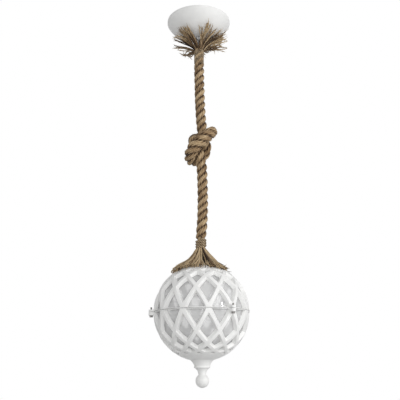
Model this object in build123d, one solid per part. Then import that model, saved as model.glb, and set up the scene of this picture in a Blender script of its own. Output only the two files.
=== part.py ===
from build123d import *
import math
import os

# Hanging lantern: a ceiling canopy, a knotted rope and a lattice globe that opens on a hinge.
# Millimetres, +Z up, origin at the middle of the bracket's ceiling face.
# Azimuth 0 is the front (-Y), and it grows towards +X.

# Shared clearances
running_gap = 0.3
seat_gap = 0.1
press_gap = 0.05

# Globe and lattice
globe_radius = 125.0
globe_drop = 851.0
cage_depth = 9.0
strip_width = 8.0
strip_base_width = 14.0
strip_tilt = 61.7
node_count = 12
node_azimuth = 8.3
rim_height = 1.6
seal_thickness = 1.0
seal_inset = 1.0
cap_boss_radius = 20.0
cap_boss_rise = 2.0
cap_thickness = 12.0

# Glass
glass_gap = 0.5
glass_wall = 3.0
glass_seal_radius = 24.0
glass_seal_drop = 5.0

# Lugs, closure screws and hinge
lug_azimuths = {"right": 36.5, "left": -83.5}
hinge_azimuth = 156.5
lug_reach = 6.0
lug_width = 13.0
upper_lug_height = 5.5
lower_lug_height = 8.5
screw_radius = 2.4
screw_play = 0.25
screw_tip_rise = 6.0
screw_chamfer = 0.8
screw_head_radius = 4.4
screw_head_height = 3.6
screw_socket_radius = 2.0
screw_socket_depth = 2.0
screw_washer_radius = 5.2
screw_washer_thickness = 1.0
hinge_reach = 12.0
hinge_rise = 4.5
hinge_pin_radius = 2.5
knuckle_radius = 6.0
knuckle_width = 13.0
knuckle_arm_drop = 10.0
ear_thickness = 5.0
ear_gap = 0.5
clip_radius = 4.2
clip_thickness = 1.0

# Finial
finial_flare_radius = 29.5
finial_collar_radius = 20.0
finial_ring_radius = 21.0
finial_neck_radius = 9.8
finial_ball_radius = 17.3
finial_flare_drop = 4.5
finial_collar_drop = 13.3
finial_neck_drop = 30.0
finial_length = 64.5
finial_flare_edge = 1.6
finial_ring_height = 4.8
finial_flare_way = (-1, -0.8)
finial_collar_way = (-1, -0.5)
stud_radius = 4.0
stud_depth = 22.0
stud_end = 1.5

# Rope, knot, binding, whipping and frays
rope_radius = 13.5
rope_top = 84.0
rope_globe_gap = 71.0
upper_run_share = 0.266
knot_share = 0.538
knot_shift = 2.0
lower_bend_height = 120.0
lower_run = 50.0
lower_shift = 6.0
corner_share = 0.45
bend_share = 1.6
binding_thickness = 1.1
binding_length = 38.0
binding_drop = 2.0
twine_radius = 3.2
twine_turns = 3
twine_step = 7.0
whipping_drop = 1.0
neck_radius = 9.6
fray_root_height = 4.0
fray_root_inset = 1.0
fray_reach = 84.0
fray_rise = 38.0
fray_thickness = 5.0
fray_tip_thickness = 3.0
upper_tuft_count = 10
lower_tuft_count = 12
skirt_radius = 76.0
skirt_gap = 4.0
skirt_way = (0.62, -0.78)
notch_width = 36.0

# Canopy and bracket
canopy_radius = 92.0
canopy_lip = 6.5
canopy_depth = 58.0
canopy_outlet = 14.0
canopy_bulge = 10.75
canopy_wall = 2.5
bracket_thickness = 3.0
bracket_width = 30.0
bracket_drop = 8.0
bridge_half = 22.0
ceiling_hole_radius = 2.75
ceiling_hole_spacing = 108.0
cable_hole_radius = 5.0
ear_plate_width = 16.0
set_screw_radius = 1.5
set_screw_length = 7.0
bracket_ear_gap = 2.5

# Eye bolt, ring and eye rod
eye_wire = 2.5
eye_bend = 8.5
eye_root = 1.0
eye_collar_radius = 7.0
eye_collar_height = 2.0
bolt_radius = 3.0
bolt_nut_height = 5.0
bolt_nut_flats = 10.0
bolt_end = 1.0
ring_wire = 2.0
ring_bend = 8.0
ring_straight = 8.0
rod_wire = 2.2
rod_bend = 6.5
rod_radius = 3.5
rod_insert = 36.0

# Terminal block
block_length = 24.0
block_width = 22.0
block_height = 14.0
block_start = 26.0
pole_count = 3
pole_radius = 1.8
terminal_screw_radius = 1.5
terminal_screw_length = 5.0
terminal_screw_recess = 0.5

# Stem, its nuts and the lampholder
stem_radius = 5.0
stem_bore = 3.5
stem_insert = 15.0
nut_flats = 14.0
nut_height = 6.0
washer_radius = 12.0
washer_thickness = 2.0
stud_nut_flats = 13.0
stud_nut_height = 6.5
stud_washer_radius = 10.0
stud_washer_thickness = 1.6
holder_radius = 22.5
holder_length = 60.0
holder_edge = 6.0
holder_shoulder = 8.0
holder_gap = 0.5
socket_radius = 13.4
shell_wall = 0.6
socket_depth = 34.0
contact_radius = 5.0
contact_height = 4.0
contact_gap = 0.2

globe_center = Pos(0, 0, -globe_drop)
rope_end = globe_drop - globe_radius - rope_globe_gap
rope_drop = rope_end - rope_top
inner_radius = globe_radius - cage_depth
rim_start = seal_thickness / 2
rim_end = rim_start + rim_height


def on_globe(azimuth, latitude):
    """Unit vector from the globe's centre."""
    a = math.radians(azimuth)
    b = math.radians(latitude)
    return Vector(math.cos(b) * math.sin(a), -math.cos(b) * math.cos(a), math.sin(b))


def upright(radius, low, high):
    """Cylinder on the Z axis between two heights."""
    return Pos(0, 0, (low + high) / 2) * Cylinder(radius, high - low)


def tube(outer, inner, low, high):
    """Hollow cylinder on the Z axis between two heights."""
    return upright(outer, low, high) - upright(inner, low, high)


def block(x_range, y_range, z_range):
    """Box between two corners."""
    sizes = [r[1] - r[0] for r in (x_range, y_range, z_range)]
    middle = [(r[1] + r[0]) / 2 for r in (x_range, y_range, z_range)]
    return Pos(*middle) * Box(*sizes)


def hex_nut(flats, bore, low, high):
    """Hexagon nut on the Z axis between two heights."""
    prism = extrude(Plane.XY.offset(low) * RegularPolygon(flats / 2, 6, major_radius=False), high - low)
    return prism - upright(bore, low, high)


def great_circle(azimuth, way):
    """Normal of the lattice plane that leaves the equator at an azimuth and climbs towards way."""
    start = on_globe(azimuth, 0)
    crest = on_globe(azimuth + 90 * way, strip_tilt)
    return start.cross(crest).normalized()


def clipped(polygon, plane):
    """Part of a convex polygon on the inner side of a plane.

    The polygon is a list of (corner, plane of the edge that starts there), and a plane is (normal, least).
    """
    normal, least = plane
    kept = []
    for i, (a, edge) in enumerate(polygon):
        b = polygon[(i + 1) % len(polygon)][0]
        da = normal.dot(a) - least
        db = normal.dot(b) - least
        crossing = a + (b - a) * (da / (da - db)) if da * db < 0 else None
        if da >= 0:
            kept.append((a, edge))
        if crossing:
            kept.append((crossing, plane if da > 0 else edge))
    return kept


def meeting_point(planes):
    """Point that three planes share."""
    (a, da), (b, db), (c, dc) = planes
    return (b.cross(c) * da + c.cross(a) * db + a.cross(b) * dc) * (1 / a.dot(b.cross(c)))


def cell_cutter(middle, planes):
    """Solid that opens one lattice cell: a slice of the space between its bounding planes."""
    side = Vector(0, 0, 1).cross(middle).normalized()
    rise = middle.cross(side)
    corners = [(-1, -1), (1, -1), (1, 1), (-1, 1)]
    polygon = [((middle + side * u + rise * v) * globe_radius, None) for u, v in corners]
    for plane in planes:
        polygon = clipped(polygon, plane)
    edges = [edge for corner, edge in polygon]
    count = len(edges)
    rings = []
    for level in (inner_radius - cage_depth, globe_radius + cage_depth):
        rings.append([meeting_point((edges[i - 1], edges[i], (middle, level))) for i in range(count)])
    inner, outer = rings
    faces = [Face(Wire.make_polygon(inner)), Face(Wire.make_polygon(outer))]
    for i in range(count):
        j = (i + 1) % count
        faces.append(Face(Wire.make_polygon([inner[i], inner[j], outer[j], outer[i]])))
    return Solid(Shell(faces))


def strip_side(normal, middle, lean):
    """Plane of a strip's side towards a cell: it stands off more at the strip's base than at its face."""
    if normal.dot(middle) < 0:
        normal = normal * -1
    nearest = (middle - normal * normal.dot(middle)).normalized()
    slope = lean * (strip_base_width - strip_width) / 2 / cage_depth
    leaning = normal + nearest * slope
    return leaning.normalized(), (strip_width / 2 + slope * globe_radius) / leaning.length


def lattice_cells():
    """Cutters for the cells of the upper half, row by row."""
    step = 360 / node_count
    rows = [
        # middle azimuth and latitude, the nodes whose circles bound it: (node, way), then the sides' lean
        (0.5, 9, [(0, 1), (1, -1)], 1),
        (0.0, 23, [(0, 1), (0, -1), (-1, 1), (1, -1)], 1),
        (0.5, 40, [(0, 1), (1, -1), (-1, 1), (2, -1)], 1),
        (0.0, 51, [(-1, 1), (1, -1), (-2, 1), (2, -1)], 0.5),
        (0.5, 57, [(-1, 1), (2, -1), (-2, 1), (3, -1)], 0),
    ]
    cutters = []
    for k in range(node_count):
        for shift, latitude, circles, lean in rows:
            middle = on_globe(node_azimuth + (k + shift) * step, latitude)
            planes = [(Vector(0, 0, 1), rim_end)]
            for node, way in circles:
                normal = great_circle(node_azimuth + (k + node) * step, way)
                planes.append(strip_side(normal, middle, lean))
            cutters.append(cell_cutter(middle, planes))
    return cutters


def half_lattice():
    """Upper half of the cage, without lugs: rim, strips and cap."""
    big = 2 * globe_radius
    shell = Sphere(globe_radius) - Sphere(inner_radius)
    shell = shell & block((-big, big), (-big, big), (rim_start, big))
    return shell - lattice_cells()


def lug(low, high):
    """Lug at azimuth 0 with its screw hole, not yet trimmed to the globe."""
    reach = globe_radius + lug_reach
    half = lug_width / 2
    body = block((-half, half), (-reach, -inner_radius), (low, high))
    body = body + Pos(0, -reach, 0) * upright(half, low, high)
    return body - Pos(0, -reach, 0) * upright(screw_radius + screw_play, low, high)


def across(radius, low, high):
    """Cylinder along X on the hinge line, between two X values."""
    place = Pos((low + high) / 2, -(globe_radius + hinge_reach), hinge_rise)
    return place * Rot(0, 90, 0) * Cylinder(radius, high - low)


hinge_inner = knuckle_width / 2 + ear_gap
hinge_outer = hinge_inner + ear_thickness


def hinge_ears():
    """Two ears of the upper cage at azimuth 0."""
    line = globe_radius + hinge_reach
    ears = []
    for side in (-1, 1):
        low, high = sorted((side * hinge_inner, side * hinge_outer))
        web = block((low, high), (-line, -inner_radius), (rim_start, hinge_rise + knuckle_radius))
        ears.append(web + across(knuckle_radius, low, high))
    pair = ears[0] + ears[1]
    return pair - across(hinge_pin_radius + press_gap, -hinge_outer, hinge_outer)


def hinge_knuckle():
    """Knuckle of the lower cage at azimuth 0, with the arm that carries it."""
    line = globe_radius + hinge_reach
    half = knuckle_width / 2
    reach = line + knuckle_radius
    arm = block((-half, half), (-reach, -line + knuckle_radius), (-knuckle_arm_drop, hinge_rise))
    foot = block((-half, half), (-reach, -inner_radius), (-knuckle_arm_drop, -rim_start))
    body = arm + foot + across(knuckle_radius, -half, half)
    return body - across(hinge_pin_radius + running_gap / 2, -half, half)


def upper_cage():
    lattice = half_lattice()
    pole = globe_radius
    lattice = lattice + upright(cap_boss_radius, pole - cap_thickness, pole + cap_boss_rise)
    upper_lug = lug(rim_start, rim_start + upper_lug_height) - Sphere(inner_radius)
    for azimuth in lug_azimuths.values():
        lattice = lattice + Rot(0, 0, azimuth) * upper_lug
    lattice = lattice + Rot(0, 0, hinge_azimuth) * (hinge_ears() - Sphere(inner_radius))
    lattice = lattice - upright(stem_radius + seat_gap, 0, 2 * pole)
    return globe_center * lattice


def lower_cage():
    lattice = mirror(half_lattice(), Plane.XY)
    lower_lug = lug(-rim_start - lower_lug_height, -rim_start) - Sphere(inner_radius)
    for azimuth in lug_azimuths.values():
        lattice = lattice + Rot(0, 0, azimuth) * lower_lug
    lattice = lattice + Rot(0, 0, hinge_azimuth) * (hinge_knuckle() - Sphere(inner_radius))
    lattice = lattice - upright(stud_radius + seat_gap, -2 * globe_radius, 0)
    return globe_center * lattice


glass_outer = inner_radius - glass_gap
glass_inner = glass_outer - glass_wall
glass_rim = rim_start + running_gap


def half_glass(hole):
    """Upper half of the glass globe, with a hole at its pole."""
    big = 2 * globe_radius
    shell = Sphere(glass_outer) - Sphere(glass_inner)
    shell = shell & block((-big, big), (-big, big), (glass_rim, big))
    return shell - upright(hole, 0, big)


def glass_seal(bore):
    """Rubber pad with one face to the glass and one flat face, at the upper pole."""
    pole = glass_inner
    pad = upright(glass_seal_radius, pole - glass_seal_drop, pole) & Sphere(glass_inner - press_gap)
    return pad - upright(bore, 0, 2 * pole)


def upper_glass():
    return globe_center * half_glass(cap_boss_radius + seat_gap)


def lower_glass():
    return globe_center * mirror(half_glass(stud_radius + seat_gap), Plane.XY)


def upper_glass_seal():
    boss_bottom = globe_radius - cap_thickness - press_gap
    pad = glass_seal(stem_radius + seat_gap)
    return globe_center * (pad - upright(cap_boss_radius + seat_gap, boss_bottom, globe_radius))


def lower_glass_seal():
    return globe_center * mirror(glass_seal(stud_radius + seat_gap), Plane.XY)


def rim_seal():
    return globe_center * tube(globe_radius - seal_inset, glass_inner, -rim_start, rim_start - press_gap)


def closure_screw(azimuth):
    """Socket-head screw that comes up through both lugs."""
    reach = globe_radius + lug_reach
    seat = -rim_start - lower_lug_height - screw_washer_thickness
    tip = rim_start + upper_lug_height + screw_tip_rise
    head_end = seat - screw_head_height
    body = upright(screw_radius, seat, tip) + upright(screw_head_radius, head_end, seat)
    body = chamfer(body.edges().sort_by(Axis.Z)[-1], screw_chamfer)
    socket = extrude(Plane.XY.offset(head_end) * RegularPolygon(screw_socket_radius, 6), screw_socket_depth)
    return globe_center * Rot(0, 0, azimuth) * Pos(0, -reach, 0) * (body - socket)


def closure_washer(azimuth):
    reach = globe_radius + lug_reach
    top = -rim_start - lower_lug_height
    ring = tube(screw_washer_radius, screw_radius + seat_gap, top - screw_washer_thickness, top)
    return globe_center * Rot(0, 0, azimuth) * Pos(0, -reach, 0) * ring


pin_end = hinge_outer + ear_gap + 2 * clip_thickness


def hinge_pin():
    return globe_center * Rot(0, 0, hinge_azimuth) * across(hinge_pin_radius, -pin_end, pin_end)


def hinge_pin_clips():
    clips = []
    for side in (-1, 1):
        low, high = sorted((side * (hinge_outer + seat_gap), side * (hinge_outer + seat_gap + clip_thickness)))
        clips.append(across(clip_radius, low, high) - across(hinge_pin_radius + press_gap, low, high))
    return globe_center * Rot(0, 0, hinge_azimuth) * Compound(clips)


def finial():
    """Turned knob below the lower cage, hollowed to sit on the globe."""
    top = -globe_radius
    start = top + finial_flare_drop
    collar = top - finial_collar_drop
    neck = top - finial_neck_drop
    end = top - finial_length
    ball = end + finial_ball_radius
    half_ring = finial_ring_height / 2
    lean = math.asin(finial_neck_radius / finial_ball_radius)
    ball_top = ball + finial_ball_radius * math.cos(lean)
    edge = (finial_flare_radius, start - finial_flare_edge)
    outline = [
        Line((0, start), (finial_flare_radius, start)),
        Line((finial_flare_radius, start), edge),
        TangentArc(edge, (finial_collar_radius, collar + half_ring), tangent=finial_flare_way),
        ThreePointArc(
            (finial_collar_radius, collar + half_ring),
            (finial_ring_radius, collar),
            (finial_collar_radius, collar - half_ring),
        ),
        TangentArc(
            (finial_collar_radius, collar - half_ring),
            (finial_neck_radius, neck),
            tangent=finial_collar_way,
        ),
        Line((finial_neck_radius, neck), (finial_neck_radius, ball_top)),
        ThreePointArc((finial_neck_radius, ball_top), (finial_ball_radius, ball), (0, end)),
        Line((0, end), (0, start)),
    ]
    knob = revolve(Plane.XZ * make_face(outline), Axis.Z)
    knob = knob - Sphere(globe_radius + press_gap)
    return globe_center * (knob - upright(stud_radius + press_gap, top - stud_depth, 0))


pad_level = glass_inner - glass_seal_drop


def finial_stud():
    end = -pad_level + stud_washer_thickness + stud_nut_height + stud_end
    return globe_center * upright(stud_radius, -globe_radius - stud_depth, end)


def finial_washer():
    low = -pad_level
    return globe_center * tube(stud_washer_radius, stud_radius + seat_gap, low, low + stud_washer_thickness)


def finial_nut():
    low = -pad_level + stud_washer_thickness
    return globe_center * hex_nut(stud_nut_flats, stud_radius + press_gap, low, low + stud_nut_height)


# Rope route, from the top down. The knot is an overhand knot, its points are relative to its middle.
rope_start = [(0, 0, -rope_top), (0, 0, -rope_top - upper_run_share * rope_drop)]
knot_offset = (knot_shift, 0, -rope_top - knot_share * rope_drop)
knot_points = [
    (4, 5, 38),
    (18, 10, -4),
    (12, 32, -28),
    (-14, 33, -43),
    (-35, 5, -49),
    (-28, -26, -28),
    (0, -33, 2),
    (25, -23, 29),
    (35, 4, 49),
    (22, 33, 49),
    (-9, 38, 37),
    (-24, 12, 21),
    (-13, -1, -12),
    (-2, 1, -49),
]
rope_finish = [
    (lower_shift, 0, lower_bend_height - rope_end),
    (0, 0, lower_run - rope_end),
    (0, 0, -rope_end),
]


def halfway(a, b):
    return tuple((u + v) / 2 for u, v in zip(a, b))


knot_route = [tuple(u + v for u, v in zip(p, knot_offset)) for p in knot_points]
upper_split = halfway(rope_start[-1], knot_route[0])
lower_split = halfway(knot_route[-1], rope_finish[0])
upper_route = rope_start + [upper_split]
middle_route = [upper_split] + knot_route + [lower_split]
lower_route = [lower_split] + rope_finish


def rope_path(name, points):
    """Straight runs joined by arcs that are as large as their runs allow."""
    places = [Vector(*p) for p in points]
    radii = []
    for before, corner, after in zip(places, places[1:], places[2:]):
        turn = math.radians((corner - before).get_angle(after - corner))
        shorter = min((corner - before).length, (after - corner).length)
        radii.append(corner_share * shorter / math.tan(turn / 2))
    print(name, "corner radii", [round(r, 1) for r in radii])
    return FilletPolyline(*places, radius=radii)


def rope_tube(name, points):
    """Plain round tube along the route, with its volume set against section times length."""
    path = rope_path(name, points)
    solid = sweep(Plane(origin=path @ 0, z_dir=path % 0) * Circle(rope_radius), path=path)
    share = solid.volume / (math.pi * rope_radius**2 * path.length)
    print(name, "length", round(path.length, 1), "volume over section times length", round(share, 5))
    return solid, path


def least_gap(path, radius, apart):
    """Least clear distance of a tube to itself, between points that lie further apart along it."""
    count = int(path.length / (radius / 4))
    points = [path @ (i / count) for i in range(count + 1)]
    step = path.length / count
    skip = int(apart / step)
    least = min(
        (points[i] - points[j]).length
        for i in range(0, count + 1, 2)
        for j in range(i + skip, count + 1, 2)
    )
    return least - 2 * radius


def rope_upper():
    solid, path = rope_tube("rope_upper", upper_route)
    return solid - upright(rod_radius + seat_gap, -rope_top - rod_insert, -rope_top)


def rope_knot():
    solid, path = rope_tube("rope_knot", middle_route)
    gap = least_gap(path, rope_radius, math.pi * rope_radius * bend_share)
    print("rope_knot least gap to itself", round(gap, 2))
    return solid


def rope_lower():
    solid, path = rope_tube("rope_lower", lower_route)
    return solid - upright(stem_radius + seat_gap, -rope_end, -rope_end + stem_insert)


def upper_binding():
    high = -rope_top - binding_drop
    inner = rope_radius + seat_gap
    return tube(inner + binding_thickness, inner, high - binding_length, high)


def biarc(start, leave, end, arrive):
    """Two tangent arcs from one point and direction to another."""
    chord = end - start
    both = leave + arrive
    spread = 2 * (1 - leave.dot(arrive))
    along = chord.dot(both)
    reach = (math.sqrt(along**2 + spread * chord.dot(chord)) - along) / spread
    first = start + leave * reach
    second = end - arrive * reach
    joint = (first + second) / 2
    onward = (second - first).normalized()
    return [Edge.make_tangent_arc(start, leave, joint), Edge.make_tangent_arc(joint, onward, end)]


def lower_whipping():
    """Twine wound round the rope's neck: one unbroken tube with straight ends."""
    bend = neck_radius + running_gap + twine_radius
    top = -rope_end - whipping_drop - twine_radius
    slope = twine_step / (2 * math.pi)
    places = []
    ways = []
    for i in range(4 * twine_turns + 1):
        a = math.pi / 2 * i
        places.append(Vector(bend * math.sin(a), -bend * math.cos(a), top - slope * a))
        ways.append(Vector(bend * math.cos(a), bend * math.sin(a), -slope).normalized())
    edges = [Edge.make_line(places[0] - ways[0] * 2 * twine_radius, places[0])]
    for i in range(4 * twine_turns):
        edges += biarc(places[i], ways[i], places[i + 1], ways[i + 1])
    edges.append(Edge.make_line(places[-1], places[-1] + ways[-1] * 2 * twine_radius))
    path = Wire(edges)
    gap = least_gap(path, twine_radius, math.pi * bend)
    print("lower_whipping least gap to itself", round(gap, 2))
    return sweep(Plane(origin=path @ 0, z_dir=path % 0) * Circle(twine_radius), path=path)


def notched(solid, count, inner, outer, low, high):
    """Cuts tapering notches between tufts, from an inner radius outwards."""
    cuts = []
    for i in range(count):
        corners = [(0, -inner), (notch_width / 2, -outer), (-notch_width / 2, -outer)]
        wedge = extrude(Plane.XY.offset(low) * make_face(Polyline(*corners, close=True)), high - low)
        cuts.append(Rot(0, 0, 360 / count * (i + 0.5)) * wedge)
    return solid - cuts


def upper_fray():
    """Yarns at the rope's top end, as a shallow cup of tufts under the canopy."""
    low = -rope_top
    root = rope_radius - fray_root_inset
    tip = low + fray_rise
    outline = [
        (0, low),
        (root, low),
        (fray_reach, tip),
        (fray_reach - fray_tip_thickness, tip + fray_tip_thickness),
        (root, low + fray_thickness + fray_root_height),
        (0, low + fray_thickness + fray_root_height),
    ]
    cup = revolve(Plane.XZ * make_face(Polyline(*outline, close=True)), Axis.Z)
    cup = cup - upright(rod_radius + seat_gap, low, 0)
    return notched(cup, upper_tuft_count, 2 * rope_radius, 2 * fray_reach, low, 0)


def lower_fray():
    """Neck under the whipping and the skirt of yarns that lies over the globe's top."""
    whipping = twine_turns * twine_step + 2 * (twine_radius + whipping_drop)
    root = -rope_end - whipping
    pole = -globe_drop + globe_radius
    skirt_level = -globe_drop + math.sqrt(globe_radius**2 - skirt_radius**2) + skirt_gap
    inner_start = washer_radius + running_gap
    shoulder = root - fray_thickness - neck_radius
    inner_edge = (skirt_radius - fray_tip_thickness, skirt_level - fray_tip_thickness / 2)
    outline = [
        Line((0, -rope_end), (neck_radius, -rope_end)),
        Line((neck_radius, -rope_end), (neck_radius, root)),
        TangentArc((neck_radius, root), (skirt_radius, skirt_level), tangent=skirt_way),
        Line((skirt_radius, skirt_level), inner_edge),
        Line(inner_edge, (inner_start, shoulder)),
        Line((inner_start, shoulder), (0, shoulder)),
        Line((0, shoulder), (0, -rope_end)),
    ]
    bell = revolve(Plane.XZ * make_face(outline), Axis.Z)
    bell = bell - upright(stem_radius + seat_gap, pole, -rope_end)
    bell = bell - globe_center * Sphere(globe_radius + running_gap)
    return notched(bell, lower_tuft_count, 2 * rope_radius, 2 * skirt_radius, pole - globe_radius, -rope_end)


def canopy_section(shift):
    """Half section of the canopy's skin, moved inwards along its normal by shift."""
    start = Vector(canopy_radius - shift, -canopy_lip)
    end = Vector(canopy_outlet + canopy_wall, -canopy_depth + shift)
    chord = end - start
    normal = Vector(-chord.Y, chord.X).normalized()
    middle = (start + end) * 0.5 + normal * canopy_bulge
    return [
        Line((0, 0), (canopy_radius - shift, 0)),
        Line((canopy_radius - shift, 0), start),
        ThreePointArc(start, middle, end),
        Line(end, (0, -canopy_depth + shift)),
        Line((0, -canopy_depth + shift), (0, 0)),
    ]


bracket_end = canopy_radius - canopy_wall - bracket_ear_gap
set_screw_level = -canopy_lip / 2 - bracket_thickness / 2


def sideways(radius, low, high, level):
    """Cylinder along X at a height."""
    return Pos((low + high) / 2, 0, level) * Rot(0, 90, 0) * Cylinder(radius, high - low)


def canopy_cup():
    outer = revolve(Plane.XZ * make_face(canopy_section(0)), Axis.Z)
    inner = revolve(Plane.XZ * make_face(canopy_section(canopy_wall)), Axis.Z)
    cup = outer - inner - upright(canopy_outlet, -2 * canopy_depth, 0)
    for side in (-1, 1):
        low, high = sorted((side * bracket_end, side * 2 * canopy_radius))
        cup = cup - sideways(set_screw_radius + press_gap, low, high, set_screw_level)
    return cup


def canopy_set_screws():
    screws = []
    outer_end = canopy_radius - seat_gap
    for side in (-1, 1):
        low, high = sorted((side * (outer_end - set_screw_length), side * outer_end))
        screws.append(sideways(set_screw_radius, low, high, set_screw_level))
    return Compound(screws)


def ceiling_bracket():
    """Strap with a dropped middle for the eye bolt and turned-down ears for the canopy."""
    half = bracket_width / 2
    ear_half = ear_plate_width / 2
    t = bracket_thickness
    bridge_top = -bracket_drop
    strap = block((-bridge_half, bridge_half), (-half, half), (bridge_top - t, bridge_top))
    for side in (-1, 1):
        web = sorted((side * (bridge_half - t), side * bridge_half))
        flat = sorted((side * (bridge_half - t), side * bracket_end))
        arm = sorted((side * (bracket_end - t), side * bracket_end))
        strap = strap + block(web, (-half, half), (bridge_top - t, 0))
        strap = strap + block(flat, (-half, half), (-t, 0))
        strap = strap + block(arm, (-ear_half, ear_half), (2 * set_screw_level + t, 0))
        strap = strap - Pos(side * ceiling_hole_spacing / 2, 0, 0) * upright(ceiling_hole_radius, -t, 0)
        low, high = sorted((side * (bracket_end - 2 * t), side * 2 * bracket_end))
        strap = strap - sideways(set_screw_radius + press_gap, low, high, set_screw_level)
    strap = strap - Pos(-(bridge_half + 2 * cable_hole_radius), 0, 0) * upright(cable_hole_radius, -t, 0)
    return strap - upright(bolt_radius + seat_gap, -canopy_depth, 0)


collar_top = -bracket_drop - bracket_thickness
eye_middle = collar_top - eye_collar_height - eye_wire - eye_bend + eye_root
eye_low = eye_middle - eye_bend
ring_top = eye_low + eye_wire + running_gap + ring_wire
ring_low = ring_top - 2 * ring_bend - ring_straight
rod_top = ring_low + ring_wire + running_gap + rod_wire
rod_middle = rod_top - rod_bend


def eye_bolt():
    loop = Pos(0, 0, eye_middle) * Rot(90, 0, 0) * Torus(eye_bend, eye_wire)
    collar = upright(eye_collar_radius, collar_top - eye_collar_height, collar_top)
    shank = upright(bolt_radius, collar_top, -bracket_drop + bolt_nut_height + bolt_end)
    root = upright(bolt_radius, eye_middle + eye_bend, collar_top)
    return loop + collar + shank + root


def eye_bolt_nut():
    return hex_nut(bolt_nut_flats, bolt_radius + press_gap, -bracket_drop, -bracket_drop + bolt_nut_height)


def hanger_ring():
    """Oval ring in the YZ plane."""
    high = ring_top - ring_bend
    low = ring_low + ring_bend
    path = Wire([
        Edge.make_line((0, ring_bend, low), (0, ring_bend, high)),
        Edge.make_three_point_arc((0, ring_bend, high), (0, 0, ring_top), (0, -ring_bend, high)),
        Edge.make_line((0, -ring_bend, high), (0, -ring_bend, low)),
        Edge.make_three_point_arc((0, -ring_bend, low), (0, 0, ring_low), (0, ring_bend, low)),
    ])
    return sweep(Plane(origin=path @ 0, z_dir=path % 0) * Circle(ring_wire), path=path)


def eye_rod():
    loop = Pos(0, 0, rod_middle) * Rot(90, 0, 0) * Torus(rod_bend, rod_wire)
    shank = upright(rod_radius, -rope_top - rod_insert + seat_gap, rod_middle - rod_bend)
    return loop + shank


def terminal_block():
    """Three-pole block under the bracket's arm."""
    low = -bracket_thickness - block_height
    body = block(
        (block_start, block_start + block_length),
        (-block_width / 2, block_width / 2),
        (low, -bracket_thickness),
    )
    for place in pole_places():
        wire = sideways(pole_radius, block_start, block_start + block_length, low + block_height / 2)
        body = body - Pos(0, place, 0) * wire
        hole_top = low + terminal_screw_length + terminal_screw_recess
        screw = upright(terminal_screw_radius + press_gap, low, hole_top)
        body = body - Pos(block_start + block_length / 2, place, 0) * screw
    return body


def pole_places():
    pitch = block_width / pole_count
    return [pitch * (i - (pole_count - 1) / 2) for i in range(pole_count)]


def terminal_screws():
    low = -bracket_thickness - block_height + terminal_screw_recess
    middle = block_start + block_length / 2
    screw = upright(terminal_screw_radius, low, low + terminal_screw_length)
    return Compound([Pos(middle, place, 0) * screw for place in pole_places()])


# Levels of the stem, from the globe's pole
boss_top = -globe_drop + globe_radius + cap_boss_rise
seal_low = -globe_drop + pad_level
holder_top = seal_low - washer_thickness - nut_height - holder_gap
holder_low = holder_top - holder_length


def stem_tube():
    return tube(stem_radius, stem_bore, holder_top - holder_shoulder, -rope_end + stem_insert - seat_gap)


def stem_washers():
    bore = stem_radius + seat_gap
    upper = tube(washer_radius, bore, boss_top, boss_top + washer_thickness)
    lower = tube(washer_radius, bore, seal_low - washer_thickness, seal_low)
    return Compound([upper, lower])


def stem_nuts():
    bore = stem_radius + press_gap
    upper_low = boss_top + washer_thickness
    lower_high = seal_low - washer_thickness
    upper = hex_nut(nut_flats, bore, upper_low, upper_low + nut_height)
    lower = hex_nut(nut_flats, bore, lower_high - nut_height, lower_high)
    return Compound([upper, lower])


shell_outer = socket_radius + shell_wall
socket_top = holder_low + socket_depth


def lampholder_body():
    """White lampholder with a rounded lower edge, screwed on the stem."""
    body = upright(holder_radius, holder_low, holder_top)
    body = fillet(body.edges().sort_by(Axis.Z)[0], holder_edge)
    body = chamfer(body.edges().sort_by(Axis.Z)[-1], holder_shoulder)
    body = body - upright(shell_outer + seat_gap, holder_low, socket_top)
    body = body - upright(contact_radius + seat_gap, socket_top, socket_top + contact_height / 2)
    return body - upright(stem_radius + press_gap, holder_top - holder_shoulder, holder_top)


def lampholder_shell():
    """Threaded shell, which ends just below the centre contact."""
    shell_top = socket_top - contact_height / 2 - contact_gap
    return tube(shell_outer, socket_radius, holder_low + shell_wall, shell_top)


def lampholder_contact():
    return upright(contact_radius, socket_top - contact_height / 2, socket_top + contact_height / 2)


pieces = {
    "ceiling_bracket": ceiling_bracket,
    "canopy_cup": canopy_cup,
    "canopy_set_screws": canopy_set_screws,
    "eye_bolt": eye_bolt,
    "eye_bolt_nut": eye_bolt_nut,
    "terminal_block": terminal_block,
    "terminal_screws": terminal_screws,
    "hanger_ring": hanger_ring,
    "eye_rod": eye_rod,
    "upper_fray": upper_fray,
    "upper_binding": upper_binding,
    "rope_upper": rope_upper,
    "rope_knot": rope_knot,
    "rope_lower": rope_lower,
    "lower_whipping": lower_whipping,
    "lower_fray": lower_fray,
    "stem_tube": stem_tube,
    "stem_nuts": stem_nuts,
    "stem_washers": stem_washers,
    "upper_cage": upper_cage,
    "upper_glass": upper_glass,
    "upper_glass_seal": upper_glass_seal,
    "lampholder_body": lampholder_body,
    "lampholder_shell": lampholder_shell,
    "lampholder_contact": lampholder_contact,
    "hinge_pin": hinge_pin,
    "hinge_pin_clips": hinge_pin_clips,
    "lower_cage": lower_cage,
    "rim_seal": rim_seal,
    "lower_glass": lower_glass,
    "lower_glass_seal": lower_glass_seal,
    "finial": finial,
    "finial_stud": finial_stud,
    "finial_washer": finial_washer,
    "finial_nut": finial_nut,
}

os.makedirs("parts", exist_ok=True)
for name, make in pieces.items():
    export_step(make(), os.path.join("parts", name + ".step"))
for side, azimuth in lug_azimuths.items():
    export_step(closure_screw(azimuth), os.path.join("parts", side + "_closure_screw.step"))
    export_step(closure_washer(azimuth), os.path.join("parts", side + "_screw_washer.step"))
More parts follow.
